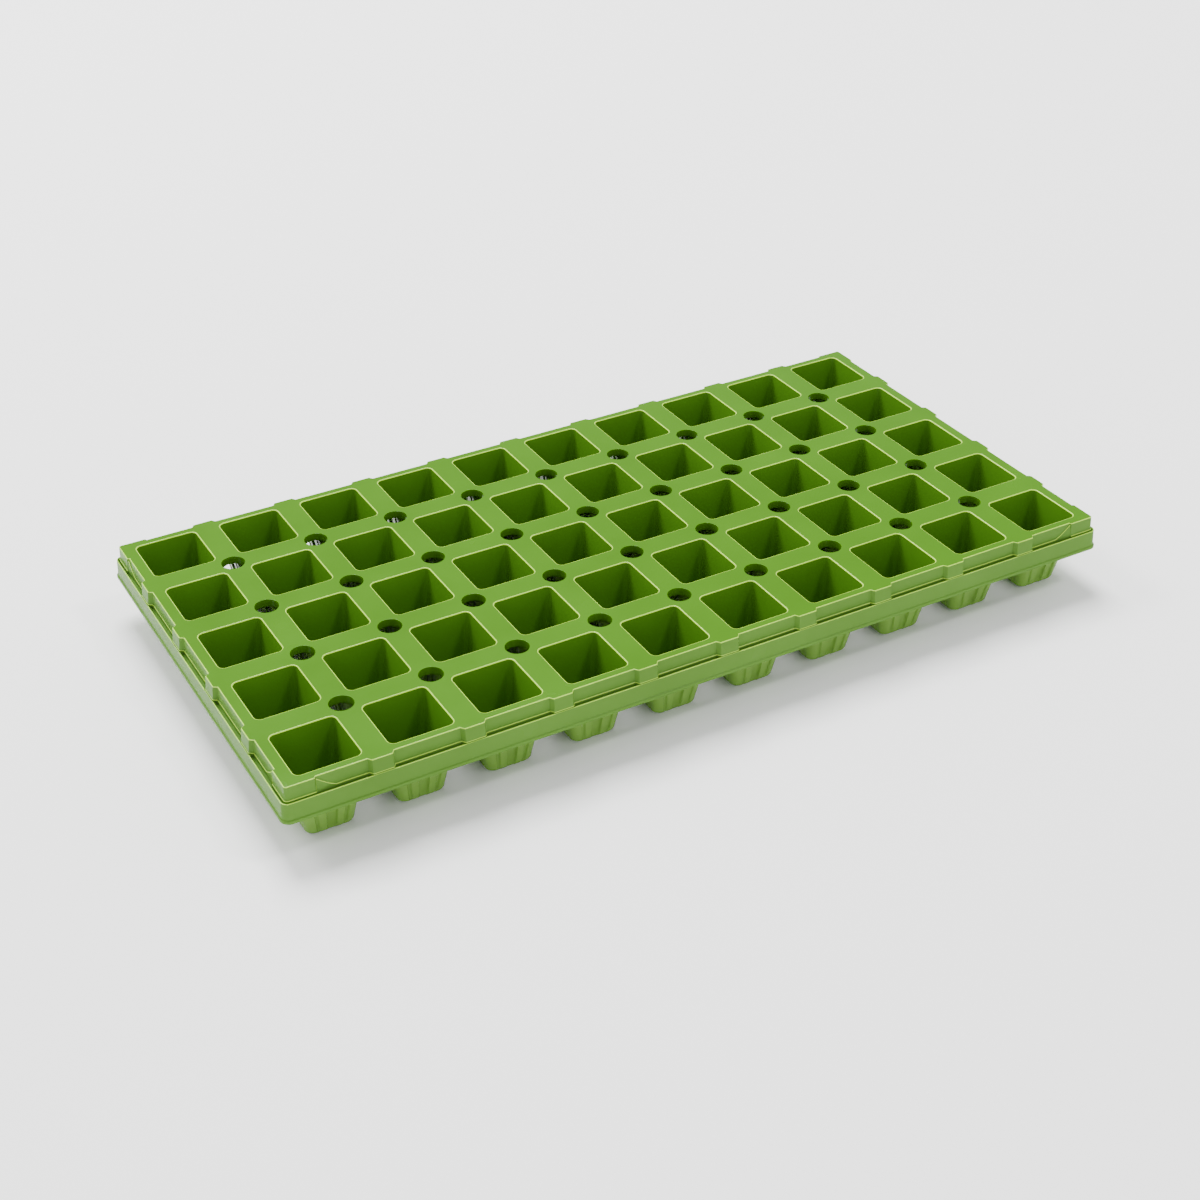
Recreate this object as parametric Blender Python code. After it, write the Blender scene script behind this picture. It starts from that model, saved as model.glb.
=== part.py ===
"""Fifty-cell plug tray: a thin plastic tray of 5 rows by 10 tapered cells.

The real tray is one moulding. Here it is divided along its own regions: each cell with
its square of deck, and the rim along each of the four sides.
Units are metres. +Z is up, +X runs along the long side, and the tray stands on z = 0.
"""
import math

import bmesh
import bpy

# Driving dimensions
ROWS = 5
COLUMNS = 10
PITCH_X = 0.0530        # cell to cell along the long side
PITCH_Y = 0.0546        # cell to cell along the short side
HEIGHT = 0.0475         # deck above the surface that the feet stand on
WALL = 0.0013           # thickness of the moulding
GAP = 0.0003            # clearance between neighbouring solids

# Cells
MOUTH_X = 0.0384        # cell opening in the deck
MOUTH_Y = 0.0394
MOUTH_CORNER = 0.0025   # chamfer that stands for the rounded corner
FOOT = 0.0285           # outside width of a cell just above its rounded bottom edge
FOOT_CORNER = 0.0040
FOOT_ROUND = 0.0050     # radius of the rounded bottom edge
FOOT_FLAT_CORNER = 0.0024
FLOOR = 0.0245          # width of the inside floor
FLOOR_LEVEL = 0.0026    # inside floor above the surface that the feet stand on
DRAIN_RADIUS = 0.0050
CROSSING_HOLE_RADIUS = 0.0070   # round hole where two webs cross
CROSSING_STEPS = 3      # straight pieces in a quarter of that hole

# Rim, as offsets outwards from the face of the tray's corner blocks
DECK_HALF_X = 0.2657
DECK_HALF_Y = 0.1348
CORNER_RADIUS = 0.0015
LEAST_RADIUS = 0.0003   # where the section lies inside the corner
CORNER_STEPS = 2        # straight pieces in half a corner
RIM_INNER = -0.0030
PANEL_OUT = (-0.0013, -0.0008)    # recessed panel beside each cell, at the deck and at its foot
BLOCK_OUT = (0.0, 0.0004)         # corner block
LUG_OUT = (0.0010, 0.0019)        # lug at the end of each web
BEAD_INNER = 0.0020
BAND_OUT = 0.0026
LIP_OUT = 0.0040
SKIRT_DROP = 0.0094     # levels are measured down from the deck
BEAD_DROP = 0.0088
BAND_DROP = 0.0188
LIP_DROP = 0.0212

LUG_HALF = 0.0056       # half the width of a lug's face
LUG_SLOPE = 0.0020      # run of its slanted sides
BLOCK_LENGTH = 0.0165   # corner block, from the corner to the end of its face
BLOCK_STEP = 0.0010
BLOCK_FOLD = 0.0100     # the fold beside the block leans this far at its foot

TRAY_COLOUR = (0.195, 0.376, 0.032, 1.0)
TRAY_ROUGHNESS = 0.32


def tray_plastic(name):
    """One glossy green plastic, as a material of the part's own."""
    material = bpy.data.materials.new(name + "_plastic")
    material.use_nodes = True
    shader = material.node_tree.nodes["Principled BSDF"]
    shader.inputs["Base Color"].default_value = TRAY_COLOUR
    shader.inputs["Roughness"].default_value = TRAY_ROUGHNESS
    shader.inputs["Metallic"].default_value = 0.0
    material.diffuse_color = TRAY_COLOUR
    return material


def add_part(name, bm, location=(0.0, 0.0, 0.0)):
    """Turns a bmesh into a named, flat-shaded object."""
    bmesh.ops.recalc_face_normals(bm, faces=bm.faces)
    mesh = bpy.data.meshes.new(name)
    bm.to_mesh(mesh)
    bm.free()
    mesh.materials.append(tray_plastic(name))
    part = bpy.data.objects.new(name, mesh)
    part.location = location
    bpy.context.collection.objects.link(part)
    return part


def chamfered_square(half_x, half_y, corner):
    """Eight plan points, anticlockwise from the lower left."""
    return [
        (-half_x + corner, -half_y), (half_x - corner, -half_y),
        (half_x, -half_y + corner), (half_x, half_y - corner),
        (half_x - corner, half_y), (-half_x + corner, half_y),
        (-half_x, half_y - corner), (-half_x, -half_y + corner),
    ]


def drain_outline():
    """Eight plan points on the drain hole, in step with chamfered_square."""
    turns = [math.radians(247.5 + 45.0 * k) for k in range(8)]
    return [(DRAIN_RADIUS * math.cos(a), DRAIN_RADIUS * math.sin(a)) for a in turns]


def tile_outline(row, column):
    """Plan of a cell's square of deck: crossing holes bite its corners, and the rim ends its edges."""
    cell_x = (column - (COLUMNS + 1) / 2) * PITCH_X
    cell_y = (row - (ROWS + 1) / 2) * PITCH_Y
    rim_x = DECK_HALF_X + RIM_INNER - GAP
    rim_y = DECK_HALF_Y + RIM_INNER - GAP
    edges = {
        "left": -rim_x - cell_x if column == 1 else (GAP - PITCH_X) / 2,
        "right": rim_x - cell_x if column == COLUMNS else (PITCH_X - GAP) / 2,
        "front": -rim_y - cell_y if row == 1 else (GAP - PITCH_Y) / 2,
        "back": rim_y - cell_y if row == ROWS else (PITCH_Y - GAP) / 2,
    }
    outline = []
    for side, end, quarter in (("left", "front", 0), ("right", "front", 1),
                               ("right", "back", 2), ("left", "back", 3)):
        open_side = column == 1 if side == "left" else column == COLUMNS
        open_end = row == 1 if end == "front" else row == ROWS
        if open_side or open_end:
            outline.append((edges[side], edges[end]))
            continue
        centre_x = math.copysign(PITCH_X / 2, edges[side])
        centre_y = math.copysign(PITCH_Y / 2, edges[end])
        lean = math.asin(GAP / 2 / CROSSING_HOLE_RADIUS)
        first = math.radians(90.0 * quarter + 90.0) - lean
        sweep = 2 * lean - math.radians(90.0)
        for k in range(CROSSING_STEPS + 1):
            turn = first + sweep * k / CROSSING_STEPS
            outline.append((centre_x + CROSSING_HOLE_RADIUS * math.cos(turn),
                            centre_y + CROSSING_HOLE_RADIUS * math.sin(turn)))
    return outline


def add_loop(bm, outline, level):
    """A closed loop of vertices and edges at one height."""
    verts = [bm.verts.new((x, y, level)) for x, y in outline]
    edges = [bm.edges.new((a, b)) for a, b in zip(verts, verts[1:] + verts[:1])]
    return verts, edges


def bridge(bm, first, second):
    """Quads between two loops with the same number of vertices."""
    count = len(first)
    for k in range(count):
        after = (k + 1) % count
        bm.faces.new((first[k], first[after], second[after], second[k]))


def make_cell(row, column):
    """One tapered cell with its square of deck, open at the top and drained through its foot."""
    bm = bmesh.new()
    foot = FOOT / 2
    foot_flat = foot - FOOT_ROUND
    foot_round = foot - FOOT_ROUND * (1 - math.sqrt(0.5))
    deck = tile_outline(row, column)
    loops = {
        "deck_top": (deck, HEIGHT),
        "mouth": (chamfered_square(MOUTH_X / 2, MOUTH_Y / 2, MOUTH_CORNER), HEIGHT),
        "floor": (chamfered_square(FLOOR / 2, FLOOR / 2, FOOT_CORNER), FLOOR_LEVEL),
        "drain_top": (drain_outline(), FLOOR_LEVEL),
        "drain_bottom": (drain_outline(), 0.0),
        "foot_flat": (chamfered_square(foot_flat, foot_flat, FOOT_FLAT_CORNER), 0.0),
        "foot_round": (chamfered_square(foot_round, foot_round, FOOT_CORNER), foot - foot_round),
        "foot_side": (chamfered_square(foot, foot, FOOT_CORNER), FOOT_ROUND),
        "cell_top": (chamfered_square(MOUTH_X / 2 + WALL, MOUTH_Y / 2 + WALL, MOUTH_CORNER),
                     HEIGHT - WALL),
        "deck_bottom": (deck, HEIGHT - WALL),
    }
    made = {name: add_loop(bm, outline, level) for name, (outline, level) in loops.items()}
    for upper, lower in (("mouth", "floor"), ("floor", "drain_top"), ("drain_top", "drain_bottom"),
                         ("drain_bottom", "foot_flat"), ("foot_flat", "foot_round"),
                         ("foot_round", "foot_side"), ("foot_side", "cell_top"),
                         ("deck_bottom", "deck_top")):
        bridge(bm, made[upper][0], made[lower][0])
    for outer, inner in (("deck_top", "mouth"), ("deck_bottom", "cell_top")):
        bmesh.ops.triangle_fill(bm, use_beauty=True, use_dissolve=False,
                                edges=made[outer][1] + made[inner][1])
    place = ((column - (COLUMNS + 1) / 2) * PITCH_X, (row - (ROWS + 1) / 2) * PITCH_Y, 0.0)
    return add_part(f"cell_r{row}_c{column:02d}", bm, place)


def rim_section(top_out, foot_out):
    """The rim's cross-section, as (outward offset, height): top edge, skirt, groove, band and lip."""
    groove = HEIGHT - SKIRT_DROP
    return [
        (RIM_INNER, HEIGHT),
        (top_out, HEIGHT),
        (foot_out, groove),
        (BEAD_INNER, groove),
        (BEAD_INNER, HEIGHT - BEAD_DROP),
        (BAND_OUT, HEIGHT - BEAD_DROP),
        (BAND_OUT, HEIGHT - BAND_DROP),
        (LIP_OUT, HEIGHT - BAND_DROP),
        (LIP_OUT, HEIGHT - LIP_DROP),
        (LIP_OUT - WALL, HEIGHT - LIP_DROP),
        (LIP_OUT - WALL, HEIGHT - BAND_DROP - WALL),
        (BAND_OUT - WALL, HEIGHT - BAND_DROP - WALL),
        (BAND_OUT - WALL, groove - WALL),
        (foot_out - WALL, groove - WALL),
        (top_out - WALL, HEIGHT - WALL),
        (RIM_INNER, HEIGHT - WALL),
    ]


def side_stations(half_length, webs):
    """Places along one side, from its middle's point of view: (run, top offset, foot offset)."""
    block_end = half_length - BLOCK_LENGTH
    stations = [
        (-block_end, *BLOCK_OUT),
        (-block_end + BLOCK_STEP, PANEL_OUT[0], BLOCK_OUT[1]),
        (-block_end + BLOCK_STEP + BLOCK_FOLD, *PANEL_OUT),
    ]
    for web in webs:
        stations += [
            (web - LUG_HALF - LUG_SLOPE, *PANEL_OUT),
            (web - LUG_HALF, *LUG_OUT),
            (web + LUG_HALF, *LUG_OUT),
            (web + LUG_HALF + LUG_SLOPE, *PANEL_OUT),
        ]
    return stations + [
        (block_end - BLOCK_STEP - BLOCK_FOLD, *PANEL_OUT),
        (block_end - BLOCK_STEP, PANEL_OUT[0], BLOCK_OUT[1]),
        (block_end, *BLOCK_OUT),
    ]


def corner_ring(half_length, half_width, end, turn):
    """The section carried round a corner: turn is the angle from the straight, end is -1 or +1."""
    ring = []
    for offset, level in rim_section(*BLOCK_OUT):
        radius = max(CORNER_RADIUS + offset, LEAST_RADIUS)
        run = half_length + offset - radius + radius * math.sin(turn)
        out = half_width + offset - radius + radius * math.cos(turn)
        ring.append((end * run, -out, level))
    return ring


def make_rim_side(name, half_length, half_width, webs, quarter_turns):
    """One side of the rim, swept along the front and turned into place, mitred at both corners."""
    turns = [math.radians(45.0) * k / CORNER_STEPS for k in range(CORNER_STEPS + 1)]
    mitre = GAP / 2 * math.sqrt(2)
    rings = [corner_ring(half_length, half_width, -1, turn) for turn in reversed(turns)]
    rings[0] = [(x + mitre, y, z) for x, y, z in rings[0]]
    for run, top_out, foot_out in side_stations(half_length, webs):
        section = rim_section(top_out, foot_out)
        rings.append([(run, -half_width - offset, level) for offset, level in section])
    rings += [corner_ring(half_length, half_width, 1, turn) for turn in turns]
    rings[-1] = [(x - mitre, y, z) for x, y, z in rings[-1]]
    bm = bmesh.new()
    loops = [[bm.verts.new(point) for point in ring] for ring in rings]
    for first, second in zip(loops, loops[1:]):
        bridge(bm, first, second)
    bm.faces.new(loops[0])
    bm.faces.new(reversed(loops[-1]))
    side = add_part(name, bm)
    side.rotation_euler = (0.0, 0.0, math.radians(90.0) * quarter_turns)
    return side


for leftover in list(bpy.data.objects):
    bpy.data.objects.remove(leftover, do_unlink=True)

for row in range(1, ROWS + 1):
    for column in range(1, COLUMNS + 1):
        make_cell(row, column)

long_webs = [(k - COLUMNS / 2) * PITCH_X for k in range(1, COLUMNS)]
short_webs = [(k - ROWS / 2) * PITCH_Y for k in range(1, ROWS)]
make_rim_side("rim_front", DECK_HALF_X, DECK_HALF_Y, long_webs, 0)
make_rim_side("rim_right", DECK_HALF_Y, DECK_HALF_X, short_webs, 1)
make_rim_side("rim_back", DECK_HALF_X, DECK_HALF_Y, long_webs, 2)
make_rim_side("rim_left", DECK_HALF_Y, DECK_HALF_X, short_webs, 3)
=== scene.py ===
import math

import bmesh
import bpy
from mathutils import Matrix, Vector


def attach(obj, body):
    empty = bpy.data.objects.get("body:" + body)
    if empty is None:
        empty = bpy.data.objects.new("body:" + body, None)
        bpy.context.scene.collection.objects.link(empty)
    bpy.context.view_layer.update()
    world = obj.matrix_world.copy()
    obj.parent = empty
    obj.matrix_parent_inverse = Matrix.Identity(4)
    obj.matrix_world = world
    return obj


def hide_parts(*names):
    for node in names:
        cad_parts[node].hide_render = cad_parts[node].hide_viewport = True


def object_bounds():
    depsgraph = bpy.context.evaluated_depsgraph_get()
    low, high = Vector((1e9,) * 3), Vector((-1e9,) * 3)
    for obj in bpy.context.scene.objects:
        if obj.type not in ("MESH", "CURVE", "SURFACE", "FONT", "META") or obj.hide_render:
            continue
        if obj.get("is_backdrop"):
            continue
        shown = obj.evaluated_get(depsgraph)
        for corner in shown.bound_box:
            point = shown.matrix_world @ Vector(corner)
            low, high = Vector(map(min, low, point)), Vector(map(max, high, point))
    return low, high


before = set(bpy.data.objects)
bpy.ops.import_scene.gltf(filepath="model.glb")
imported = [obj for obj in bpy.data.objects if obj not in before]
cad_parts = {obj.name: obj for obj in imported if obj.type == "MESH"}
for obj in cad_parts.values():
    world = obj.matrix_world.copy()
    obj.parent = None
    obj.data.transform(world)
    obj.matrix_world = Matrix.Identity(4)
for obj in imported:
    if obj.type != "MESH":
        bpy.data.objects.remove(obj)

cad_low, cad_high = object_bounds()
deck_top = cad_high[2]

# Camera: it looks along the tray from its front left corner, 0.66 m above what the tray stands
# on, through a lens slightly longer than standard.
bpy.ops.object.select_all(action="DESELECT")
bpy.ops.object.camera_add(
    location=(-0.49811, -0.87989, deck_top + 0.61063),
    rotation=(math.radians(56.837), math.radians(0.470), math.radians(-29.470)),
)
camera = bpy.context.object
camera.name = "camera"
camera.data.sensor_width = 36.0
camera.data.lens = 57.96
camera.data.clip_start = 0.01
bpy.context.scene.camera = camera

# Studio floor: a wide sheet of matt white card under the tray. It is part of the studio and
# not of the tray.
bpy.ops.object.select_all(action="DESELECT")
bpy.ops.mesh.primitive_plane_add(size=30.0, location=(0.0, 0.0, 0.0))
floor = bpy.context.object
floor.name = "studio_floor"
card = bpy.data.materials.new("white_card")
card.use_nodes = True
card_shader = card.node_tree.nodes["Principled BSDF"]
card_shader.inputs["Base Color"].default_value = (0.96, 0.96, 0.96, 1.0)
card_shader.inputs["Roughness"].default_value = 0.9
card_shader.inputs["Specular IOR Level"].default_value = 0.0
floor.data.materials.append(card)
floor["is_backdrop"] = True

# Studio light: pale walls that are brightest low down, a soft main lamp high behind the tray, a
# second one behind its left end, and a small one high in front of its right end.
studio = bpy.data.worlds.new("studio_surround")
bpy.context.scene.world = studio
studio.use_nodes = True
surround = studio.node_tree.nodes["Background"]
surround.inputs["Color"].default_value = (1.0, 1.0, 1.0, 1.0)
direction = studio.node_tree.nodes.new("ShaderNodeTexCoord")
height = studio.node_tree.nodes.new("ShaderNodeSeparateXYZ")
fall_off = studio.node_tree.nodes.new("ShaderNodeMapRange")
fall_off.inputs["To Min"].default_value = 1.80
fall_off.inputs["To Max"].default_value = 0.48
studio.node_tree.links.new(direction.outputs["Generated"], height.inputs["Vector"])
studio.node_tree.links.new(height.outputs["Z"], fall_off.inputs["Value"])
studio.node_tree.links.new(fall_off.outputs["Result"], surround.inputs["Strength"])

# Each lamp has its place, its width and height, and its power in watts.
lamps = {
    "lamp_right": ((2.0, -1.7, 3.7), (0.6, 0.6), 60.0),
    "lamp_back": ((0.5, 2.4, 4.4), (2.4, 2.4), 480.0),
    "lamp_back_left": ((-1.7, 2.1, 2.5), (1.4, 1.0), 80.0),
}
for lamp_name, (place, (wide, high), power) in lamps.items():
    bpy.ops.object.select_all(action="DESELECT")
    bpy.ops.object.light_add(type="AREA", location=place)
    lamp = bpy.context.object
    lamp.name = lamp_name
    lamp.data.shape = "RECTANGLE"
    lamp.data.size = wide
    lamp.data.size_y = high
    lamp.data.energy = power
    lamp.rotation_euler = (-lamp.location).to_track_quat("-Z", "Y").to_euler()

# Deck: the flat sheet between the cells, moulded with everything else. Each cell mouth has a
# rolled edge, and a round hole where two webs cross lets water and air through. The short collar
# made below each hole is a misreading: the real hole is plain.
rows, columns = 5, 10
pitch_x, pitch_y = 0.0530, 0.0546
wall = 0.0013
throat_x, throat_y = 0.0188, 0.0193
mouth_roll, roll_steps = 0.0006, 5
throat_corner, throat_steps = 0.0036, 6
hole_radius, hole_sides = 0.0070, 48
hole_break, break_steps = 0.00025, 2
collar_depth = 0.0048
flange = 0.0030
rim_reach = 0.0040
block_x = cad_high[0] - rim_reach
block_y = cad_high[1] - rim_reach
deck_x, deck_y = block_x - flange, block_y - flange
cell_places = [
    (row, column, (column - (columns + 1) / 2) * pitch_x, (row - (rows + 1) / 2) * pitch_y)
    for row in range(1, rows + 1)
    for column in range(1, columns + 1)
]


def rounded_square(name, half_x, half_y, corner, level, steps):
    """A flat face with four rounded corners, left in edit mode with the face selected."""
    bpy.ops.object.select_all(action="DESELECT")
    bpy.ops.mesh.primitive_plane_add(size=2.0, location=(0.0, 0.0, 0.0))
    piece = bpy.context.object
    piece.name = name
    bpy.ops.object.mode_set(mode="EDIT")
    bpy.ops.transform.resize(value=(half_x, half_y, 1.0))
    bpy.ops.transform.translate(value=(0.0, 0.0, level))
    bpy.ops.mesh.bevel(offset=corner, segments=steps, affect="VERTICES")
    bpy.ops.mesh.select_all(action="SELECT")
    return piece


def apply_modifiers(piece):
    """Applies every modifier in turn, as a finished piece keeps none."""
    bpy.ops.object.select_all(action="DESELECT")
    piece.select_set(True)
    bpy.context.view_layer.objects.active = piece
    for modifier in list(piece.modifiers):
        bpy.ops.object.modifier_apply(modifier=modifier.name)


bpy.ops.object.select_all(action="DESELECT")
bpy.ops.mesh.primitive_cube_add(size=2.0, location=(0.0, 0.0, 0.0))
deck = bpy.context.object
deck.name = "deck"
bpy.ops.object.mode_set(mode="EDIT")
bpy.ops.transform.resize(value=(deck_x, deck_y, wall / 2))
bpy.ops.transform.translate(value=(0.0, 0.0, deck_top - wall / 2))
bpy.ops.object.mode_set(mode="OBJECT")


def crossing_cylinders(radius, top, bottom):
    """One upright cylinder at every place where two webs cross."""
    made = []
    for row in range(1, rows):
        for column in range(1, columns):
            bpy.ops.object.select_all(action="DESELECT")
            bpy.ops.mesh.primitive_cylinder_add(
                vertices=hole_sides, radius=radius, depth=top - bottom,
                location=((column - columns / 2) * pitch_x, (row - rows / 2) * pitch_y,
                          (top + bottom) / 2),
            )
            made.append(bpy.context.object)
    return made


def boolean_with(pieces, operation):
    """Joins the pieces into one tool, and adds it to the deck or takes it away."""
    bpy.ops.object.select_all(action="DESELECT")
    for piece in pieces:
        piece.select_set(True)
    bpy.context.view_layer.objects.active = pieces[0]
    bpy.ops.object.join()
    tool = bpy.context.object
    change = deck.modifiers.new("change", "BOOLEAN")
    change.operation = operation
    change.solver = "EXACT"
    change.object = tool
    apply_modifiers(deck)
    bpy.data.objects.remove(tool, do_unlink=True)


boolean_with(crossing_cylinders(hole_radius + wall, deck_top - wall / 2, deck_top - collar_depth),
             "UNION")
mouth_cutter = rounded_square("mouth_cutter", throat_x, throat_y, throat_corner,
                              deck_top - 2 * wall, throat_steps)
bpy.ops.mesh.extrude_region_move(TRANSFORM_OT_translate={"value": (0.0, 0.0, 4 * wall)})
bpy.ops.mesh.select_all(action="SELECT")
bpy.ops.mesh.normals_make_consistent(inside=False)
bpy.ops.object.mode_set(mode="OBJECT")
cutters = []
for row, column, x, y in cell_places:
    cutter = mouth_cutter.copy()
    cutter.data = mouth_cutter.data.copy()
    cutter.location = (x, y, 0.0)
    bpy.context.collection.objects.link(cutter)
    cutters.append(cutter)
bpy.data.objects.remove(mouth_cutter, do_unlink=True)
cutters += crossing_cylinders(hole_radius, deck_top + wall, deck_top - collar_depth - wall)
boolean_with(cutters, "DIFFERENCE")

# The plastic: the whole tray is one moulding of glossy green polypropylene. The face that the
# polished mould made is smooth and bright, with the faint cloudiness and fine orange peel of
# a thin moulding.


def moulded_plastic(name, peel_height, green, shine):
    """Green polypropylene with cloudy colour, patchy gloss and a fine orange peel."""
    plastic = bpy.data.materials.new(name)
    plastic.use_nodes = True
    nodes = plastic.node_tree.nodes
    links = plastic.node_tree.links
    shader = nodes["Principled BSDF"]
    shader.inputs["Metallic"].default_value = 0.0
    shader.inputs["IOR"].default_value = 1.49
    shader.inputs["Specular IOR Level"].default_value = shine

    place = nodes.new("ShaderNodeTexCoord")
    clouds = nodes.new("ShaderNodeTexNoise")
    clouds.inputs["Scale"].default_value = 26.0
    clouds.inputs["Detail"].default_value = 3.0
    links.new(place.outputs["Object"], clouds.inputs["Vector"])

    tint = nodes.new("ShaderNodeValToRGB")
    tint.color_ramp.elements[0].position = 0.30
    tint.color_ramp.elements[0].color = (*(0.93 * part for part in green), 1.0)
    tint.color_ramp.elements[1].position = 0.72
    tint.color_ramp.elements[1].color = (*(1.05 * part for part in green), 1.0)
    links.new(clouds.outputs["Fac"], tint.inputs["Fac"])
    links.new(tint.outputs["Color"], shader.inputs["Base Color"])

    gloss = nodes.new("ShaderNodeMapRange")
    gloss.inputs["To Min"].default_value = 0.22
    gloss.inputs["To Max"].default_value = 0.30
    links.new(clouds.outputs["Fac"], gloss.inputs["Value"])
    links.new(gloss.outputs["Result"], shader.inputs["Roughness"])

    peel = nodes.new("ShaderNodeTexNoise")
    peel.inputs["Scale"].default_value = 900.0
    peel.inputs["Detail"].default_value = 2.0
    links.new(place.outputs["Object"], peel.inputs["Vector"])
    relief = nodes.new("ShaderNodeBump")
    relief.inputs["Strength"].default_value = 0.25
    relief.inputs["Distance"].default_value = peel_height
    links.new(peel.outputs["Fac"], relief.inputs["Height"])
    links.new(relief.outputs["Normal"], shader.inputs["Normal"])
    return plastic


deck.data.materials.clear()
deck_plastic = moulded_plastic("deck_plastic", peel_height=0.00004, green=(0.048, 0.156, 0.0008),
                               shine=0.08)
# The paler plastic is a painted highlight for rolled edges that catch the light.
painted_highlight_plastic = moulded_plastic("painted_highlight_plastic", peel_height=0.00002, green=(0.38, 0.66, 0.050),
                               shine=0.25)
deck.data.materials.append(deck_plastic)
deck.data.materials.append(painted_highlight_plastic)

# Each mouth's top edge is rolled, and a paler plastic all round it is a painted highlight,
# standing in for the light that the edge catches. Each round hole's edge is only broken.
bpy.ops.object.mode_set(mode="EDIT")
for radius, steps, round_holes in (
        (mouth_roll, roll_steps, False), (hole_break, break_steps, True)):
    bpy.ops.mesh.select_mode(type="EDGE")
    bpy.ops.mesh.select_all(action="DESELECT")
    shape = bmesh.from_edit_mesh(deck.data)
    for edge in shape.edges:
        middle = (edge.verts[0].co + edge.verts[1].co) / 2
        along_x = middle.x / pitch_x + columns / 2
        along_y = middle.y / pitch_y + rows / 2
        off_x = (along_x - round(along_x)) * pitch_x
        off_y = (along_y - round(along_y)) * pitch_y
        near_hole = math.hypot(off_x, off_y) < 1.2 * hole_radius
        inside = abs(middle.x) < deck_x - wall and abs(middle.y) < deck_y - wall
        on_top = all(vert.co.z > deck_top - wall / 4 for vert in edge.verts)
        steep = any(abs(face.normal.z) < 0.5 for face in edge.link_faces)
        if on_top and steep and inside and near_hole == round_holes:
            edge.select_set(True)
    bmesh.update_edit_mesh(deck.data)
    bpy.ops.mesh.bevel(offset=radius, segments=steps, affect="EDGES", clamp_overlap=False,
                       material=-1 if round_holes else 1)
bpy.ops.object.mode_set(mode="OBJECT")
bpy.ops.object.shade_smooth_by_angle(angle=math.radians(35.0))
even = deck.modifiers.new("even_shading", "WEIGHTED_NORMAL")
even.keep_sharp = True
even.weight = 100
apply_modifiers(deck)
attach(deck, "root")

# Cells: tapered cups of the same plastic, hanging from the deck and smooth inside. Outside, from
# 7 mm below the deck, ribs stiffen the thin wall, with a wide flute in the middle of each side and
# a narrow one beside each corner. The bottom edge is round, round a drain hole.
cup_top_x, cup_top_y = throat_x + wall, throat_y + wall
rib_height, narrow_flute = 0.0018, 0.0010
foot_half = 0.01425 - rib_height
foot_round, foot_steps = 0.0045, 5
drain_radius = 0.0050
side_cuts = 31
rib_start, rib_full = 0.0405, 0.0380
wall_levels = (rib_start, 0.0397, 0.0388, rib_full, 0.028, 0.020, 0.012, foot_round)
merge_distance = 0.000001
# Along a side that runs from -1 to 1, the wide flute's edge and its slope, and then the narrow
# flute's middle, its reach either way and its slope.
wide_edge, wide_slope = 0.300, 0.065
narrow_middle, narrow_reach, narrow_slope = 0.815, 0.115, 0.060


def rib_share(along):
    """How far the outer skin stands out at a place -1 to 1 along a side."""
    place = abs(along)
    wide = min(max((wide_edge - place) / wide_slope, 0.0), 1.0)
    narrow = min(max((narrow_reach - abs(place - narrow_middle)) / narrow_slope, 0.0), 1.0)
    return rib_height * (1.0 - wide) - narrow_flute * narrow


cup = rounded_square("cup", cup_top_x, cup_top_y, throat_corner + wall, deck_top - wall,
                     throat_steps)
bpy.ops.mesh.select_mode(type="EDGE")
bpy.ops.mesh.select_all(action="DESELECT")
shape = bmesh.from_edit_mesh(cup.data)
for edge in shape.edges:
    edge.select_set(edge.calc_length() > throat_x)
bmesh.update_edit_mesh(cup.data)
bpy.ops.mesh.subdivide(number_cuts=side_cuts)
bpy.ops.mesh.select_mode(type="FACE")
bpy.ops.mesh.select_all(action="SELECT")

taper_height = deck_top - wall - foot_round
rings = []
for level in wall_levels:
    fall = (deck_top - wall - level) / taper_height
    rings.append((level, cup_top_x + (foot_half - cup_top_x) * fall,
                  cup_top_y + (foot_half - cup_top_y) * fall))
for step in range(1, foot_steps + 1):
    turn = math.radians(90.0) * step / foot_steps
    reach = foot_half - foot_round * (1 - math.cos(turn))
    rings.append((foot_round * (1 - math.sin(turn)), reach, reach))
last_level, last_x, last_y = deck_top - wall, cup_top_x, cup_top_y
for level, half_x, half_y in rings:
    bpy.ops.mesh.extrude_region_move(
        TRANSFORM_OT_translate={"value": (0.0, 0.0, level - last_level)})
    bpy.ops.transform.resize(value=(half_x / last_x, half_y / last_y, 1.0),
                             center_override=(0.0, 0.0, level))
    last_level, last_x, last_y = level, half_x, half_y
bpy.ops.mesh.extrude_region_move(TRANSFORM_OT_translate={"value": (0.0, 0.0, 0.0)})
shape = bmesh.from_edit_mesh(cup.data)
for vert in shape.verts:
    if vert.select:
        scale = drain_radius / math.hypot(vert.co.x, vert.co.y)
        vert.co.x *= scale
        vert.co.y *= scale
bmesh.update_edit_mesh(cup.data)
bpy.ops.mesh.delete(type="FACE")
shape = bmesh.from_edit_mesh(cup.data)
for face in shape.faces:
    face.select_set(face.calc_center_median().z > deck_top - 1.5 * wall)
bmesh.update_edit_mesh(cup.data)
bpy.ops.mesh.delete(type="ONLY_FACE")
bpy.ops.mesh.select_all(action="SELECT")
bpy.ops.mesh.remove_doubles(threshold=merge_distance)
bpy.ops.mesh.normals_make_consistent(inside=False)
shape = bmesh.from_edit_mesh(cup.data)
lowest = min(shape.faces, key=lambda face: face.calc_center_median().z)
if lowest.normal.z > 0.0:
    bpy.ops.mesh.flip_normals()
bpy.ops.object.mode_set(mode="OBJECT")
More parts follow.
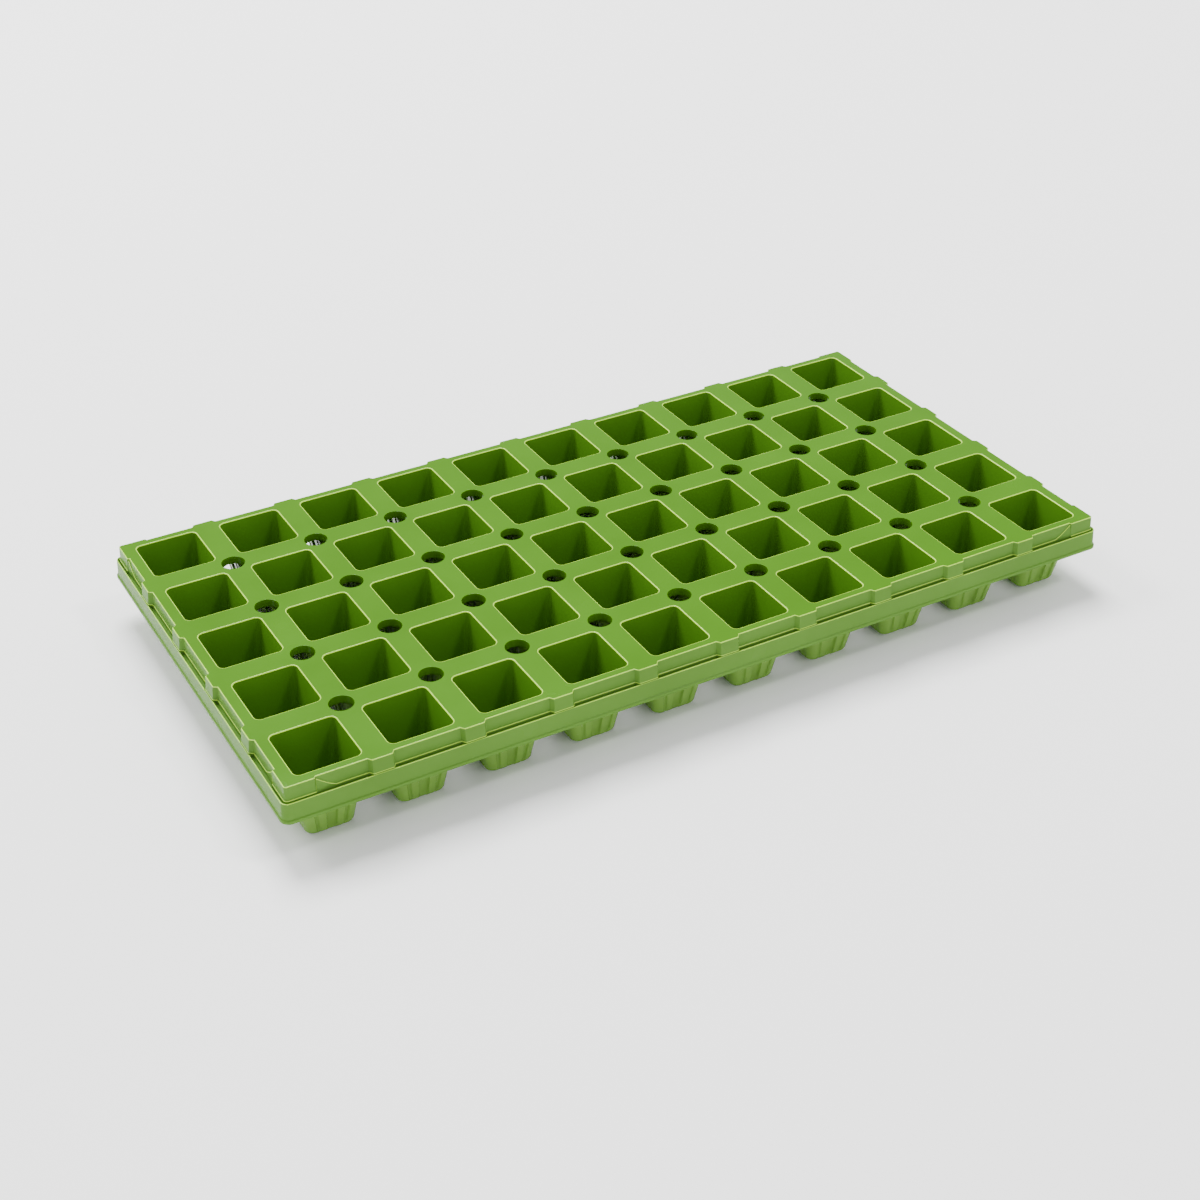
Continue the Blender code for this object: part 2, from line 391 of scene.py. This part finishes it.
# The cups' outside and inside have paler copies of the deck plastic: painted light that brightens
# their shaded walls, standing in for light that bounces into them.
cup.data.materials.append(moulded_plastic(
    "cup_outside_painted_light", peel_height=0.00004, green=(0.142, 0.286, 0.043), shine=0.10))
cup.data.materials.append(moulded_plastic(
    "cup_inside_painted_light", peel_height=0.00004, green=(0.060, 0.176, 0.0080), shine=0.12))
outer_count = len(cup.data.vertices)
thickness = cup.modifiers.new("thickness", "SOLIDIFY")
thickness.thickness = wall
thickness.offset = -1.0
thickness.use_even_offset = True
thickness.material_offset = 1
apply_modifiers(cup)

# The ribs: the outer skin moves out all round, except at the flutes, which fade out round the
# bottom edge. A ring's corners begin where a place passes 1.
for vert in cup.data.vertices[:outer_count]:
    at_drain = math.hypot(vert.co.x, vert.co.y) < drain_radius + 0.0001
    if at_drain or vert.co.z > rib_start:
        continue
    level, half_x, half_y = min(rings, key=lambda ring: abs(ring[0] - vert.co.z))
    raised = min((rib_start - level) / (rib_start - rib_full), 1.0)
    fluted = min(level / foot_round, 1.0)
    straight_x = half_x * (1 - (throat_corner + wall) / cup_top_x)
    straight_y = half_y * (1 - (throat_corner + wall) / cup_top_y)
    along = min(abs(vert.co.x) / straight_x, abs(vert.co.y) / straight_y)
    out = raised * (rib_height + fluted * (rib_share(along) - rib_height))
    turn_x = max(abs(vert.co.x) - straight_x, 0.0) / (half_x - straight_x)
    turn_y = max(abs(vert.co.y) - straight_y, 0.0) / (half_y - straight_y)
    vert.co.x += math.copysign(out * turn_x, vert.co.x)
    vert.co.y += math.copysign(out * turn_y, vert.co.y)
bpy.ops.object.shade_smooth_by_angle(angle=math.radians(32.0))
for row, column, x, y in cell_places:
    cell = cup.copy()
    cell.data = cup.data.copy()
    cell.name = f"cup_r{row}_c{column:02d}"
    bpy.context.collection.objects.link(cell)
    cell.location = (x, y, 0.0)
    bpy.ops.object.select_all(action="DESELECT")
    cell.select_set(True)
    bpy.context.view_layer.objects.active = cell
    bpy.ops.object.transform_apply(location=True, rotation=True, scale=True)
    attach(cell, "root")
    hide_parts(f"cell_r{row}_c{column:02d}")
bpy.data.objects.remove(cup, do_unlink=True)

# Rim: the stepped edge, moulded with the deck, that stiffens the tray and gives fingers a hold.
# Recessed panels lie between lugs at the webs' ends, a narrow groove runs under them, and a band
# and a lip turn down.
band_out, band_foot, band_drop = 0.0026, 0.0032, 0.0188
band_top = 0.0089
groove_out, groove_gap = 0.0016, 0.0001
ledge_slope = 0.0003
lip_slope, lip_drop = 0.0005, 0.0212
soft_edge, band_edge, ledge_edge, foot_edge, groove_edge = 0.0004, 0.0003, 0.00025, 0.0002, 0.0001
edge_steps = 3
corner_radius = 0.0015
corner_steps = 8
lug_half, lug_slope = 0.0056, 0.0020
block_length, block_step = 0.0165, 0.0008
ramp_length, ramp_steps, ramp_power = 0.0107, 8, 1.25
# Each shape: how far out the face is at the deck and at its foot, then the ledge's drop and
# reach, then the groove floor's reach and drop.
block_face = (0.0, 0.0004, 0.0084, 0.0009, 0.0011, 0.0106)
ramp_face = (-0.0013, -0.0012, 0.0012, -0.0005, 0.0006, 0.0106)
panel_face = (-0.0013, -0.0008, 0.0084, -0.0003, -0.0002, 0.0106)
lug_face = (0.0010, 0.0018, 0.0084, 0.0020, 0.0021, 0.0088)


def rim_section(face):
    """The rim cut across, as (out, drop, edge radius) points, round both of its skins."""
    top, foot, ledge_drop, ledge_out, floor_out, floor_drop = face
    return [
        (-flange, 0.0, 0.0),
        (top, 0.0, soft_edge),
        (foot, ledge_drop - ledge_slope, foot_edge),
        (ledge_out, ledge_drop, ledge_edge),
        (floor_out, floor_drop, groove_edge),
        (max(groove_out, floor_out + groove_gap), floor_drop + groove_gap / 2, groove_edge),
        (max(groove_out, floor_out) + 2 * groove_gap, band_top, ledge_edge),
        (band_out, band_top, soft_edge),
        (band_foot, band_drop, band_edge),
        (rim_reach, band_drop + lip_slope, soft_edge),
        (rim_reach, lip_drop, soft_edge),
        (rim_reach - wall, lip_drop, soft_edge),
        (rim_reach - wall, band_drop + wall + lip_slope, soft_edge),
        (band_foot - wall, band_drop + wall, soft_edge),
        (band_out - wall, floor_drop + wall, soft_edge),
        (foot - wall, floor_drop + wall, soft_edge),
        (top - wall, wall, soft_edge),
        (-flange, wall, 0.0),
    ]


def round_edges(points, steps):
    """Each point with a radius becomes a short curve of steps + 1 points."""
    outline = []
    for here, (out, drop, radius) in enumerate(points):
        before = points[here - 1]
        after = points[(here + 1) % len(points)]
        gap_before = math.hypot(before[0] - out, before[1] - drop)
        gap_after = math.hypot(after[0] - out, after[1] - drop)
        reach = min(radius, 0.45 * gap_before, 0.45 * gap_after)
        if reach <= 0.0:
            outline.append((out, drop))
            continue
        start = [out + (before[0] - out) * reach / gap_before,
                 drop + (before[1] - drop) * reach / gap_before]
        end = [out + (after[0] - out) * reach / gap_after,
               drop + (after[1] - drop) * reach / gap_after]
        for step in range(steps + 1):
            t = step / steps
            outline.append(tuple(
                (1 - t) ** 2 * start[k] + 2 * t * (1 - t) * (out, drop)[k] + t * t * end[k]
                for k in (0, 1)))
    return outline


def between(first, second, share):
    """A face part of the way from one shape to another."""
    return tuple(a + (b - a) * share for a, b in zip(first, second))


def side_stations(half_length, webs):
    """(run, face) along one side, from its left block to its right one."""
    ease = ((0.0, 0.0), (0.12, 0.04), (0.88, 0.96), (1.0, 1.0))
    ramp = [(step / ramp_steps, 1.0 - (1.0 - step / ramp_steps) ** ramp_power)
            for step in range(1, ramp_steps + 1)]
    block_end = half_length - block_length
    left = [(-block_end + share * block_step, between(block_face, ramp_face, mix))
            for share, mix in ease]
    left += [(-block_end + block_step + share * ramp_length, between(ramp_face, panel_face, mix))
             for share, mix in ramp]
    stations = [(-half_length + corner_radius, block_face)] + left
    for web in webs:
        stations += [(web - lug_half - (1 - share) * lug_slope, between(panel_face, lug_face, mix))
                     for share, mix in ease]
        stations += [(web + lug_half + share * lug_slope, between(lug_face, panel_face, mix))
                     for share, mix in ease]
    stations += [(-run, face) for run, face in reversed(left)]
    return stations + [(half_length - corner_radius, block_face)]


def rim_rings():
    """Every cross-section round the tray, as lists of 3-D points."""
    long_webs = [(k - columns / 2) * pitch_x for k in range(1, columns)]
    short_webs = [(k - rows / 2) * pitch_y for k in range(1, rows)]
    rings = []
    for side in range(4):
        half_length, half_width, webs = (
            (block_x, block_y, long_webs) if side % 2 == 0 else (block_y, block_x, short_webs))
        plan = []
        for run, face in side_stations(half_length, webs):
            ring = []
            for out, drop in round_edges(rim_section(face), edge_steps):
                reach = half_length + min(out, 0.0)
                ring.append((min(max(run, -reach), reach), -half_width - out, drop))
            plan.append(ring)
        corner = round_edges(rim_section(block_face), edge_steps)
        for step in range(1, corner_steps):
            turn = math.radians(90.0) * step / corner_steps
            ring = []
            for out, drop in corner:
                radius = max(corner_radius + out, 0.0)
                ring.append((half_length + out - radius + radius * math.sin(turn),
                             -half_width - out + radius - radius * math.cos(turn), drop))
            plan.append(ring)
        turned = math.radians(90.0) * side
        for ring in plan:
            rings.append([(x * math.cos(turned) - y * math.sin(turned),
                           x * math.sin(turned) + y * math.cos(turned), deck_top - drop)
                          for x, y, drop in ring])
    return rings


rim_places = rim_rings()
around, across = len(rim_places), len(rim_places[0])
bpy.ops.object.select_all(action="DESELECT")
bpy.ops.mesh.primitive_grid_add(x_subdivisions=across, y_subdivisions=around, size=1.0,
                                location=(0.0, 0.0, 0.0))
rim = bpy.context.object
rim.name = "rim"
for vert in rim.data.vertices:
    ring, point = divmod(vert.index, across + 1)
    vert.co = rim_places[ring % around][point % across]
# The rim's sides have a paler copy of the deck plastic, painted light that brightens its upright
# faces.
rim.data.materials.append(moulded_plastic(
    "rim_painted_light_plastic", peel_height=0.00005, green=(0.092, 0.208, 0.029), shine=0.04))
rim.data.materials.append(painted_highlight_plastic)
rim.data.materials.append(deck_plastic)
# The flat top matches the deck. The top edge, the ledge's and the band's, which are points 1, 3
# and 7 of the section, have the paler plastic as a painted highlight for the light that they
# catch.
painted_highlight_edges = (1, 3, 7)
for face in rim.data.polygons:
    edges = {(index % (across + 1) - 1) // (edge_steps + 1) + 1 for index in face.vertices}
    if edges == {0, 1}:
        face.material_index = 2
    elif len(edges) == 1 and edges.pop() in painted_highlight_edges:
        face.material_index = 1
bpy.ops.object.mode_set(mode="EDIT")
bpy.ops.mesh.select_all(action="SELECT")
bpy.ops.mesh.remove_doubles(threshold=merge_distance)
bpy.ops.mesh.dissolve_degenerate(threshold=merge_distance)
bpy.ops.mesh.select_all(action="SELECT")
bpy.ops.mesh.normals_make_consistent(inside=False)
bpy.ops.object.mode_set(mode="OBJECT")
bpy.ops.object.shade_smooth_by_angle(angle=math.radians(38.0))
even = rim.modifiers.new("even_shading", "WEIGHTED_NORMAL")
even.keep_sharp = True
apply_modifiers(rim)
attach(rim, "root")
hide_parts("rim_front", "rim_right", "rim_back", "rim_left")

low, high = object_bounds()
